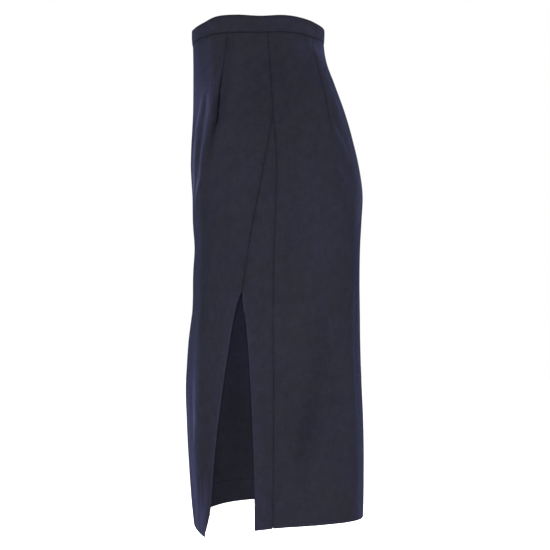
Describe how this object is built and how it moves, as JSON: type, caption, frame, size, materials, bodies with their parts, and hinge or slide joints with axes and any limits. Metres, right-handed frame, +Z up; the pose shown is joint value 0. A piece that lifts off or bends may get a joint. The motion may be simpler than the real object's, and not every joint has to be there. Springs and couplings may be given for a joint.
{
  "type": "pencil skirt",
  "caption": "Long wool pencil skirt in its worn, hollow form: straight waistband, darts, a slanting seam that opens into a slit in the left front, and a concealed zip at the right.",
  "frame": {"origin": "centre of the waist, at the height of the seam between waistband and panels", "axes": "+Z up towards the waistband, -Y towards the skirt's front, +X towards the wearer's left, where the slit is"},
  "size_m": [0.3442, 0.2614, 0.7319],
  "materials": {
    "wool_cloth": "dark navy worsted wool twill, matt, with a faint blue sheen at grazing angles",
    "zip_tape": "navy woven polyester tape",
    "zip_metal": "navy lacquer, semi-gloss"
  },
  "bodies": {
    "skirt": {"waistband": "wool_cloth", "front_panel": "wool_cloth", "side_panel": "wool_cloth", "back_panel": "wool_cloth", "zip_tape": "zip_tape", "zip_slider": "zip_metal"},
    "zip_pull": {"zip_pull": "zip_metal"}
  },
  "joints": [
    {"name": "zip_pull_swing", "type": "hinge", "parent": "skirt", "child": "zip_pull", "pos_m": [-0.12756, 0.01477, 0.01708], "axis": [0, 1, 0], "range_deg": [0, 165]}
  ]
}
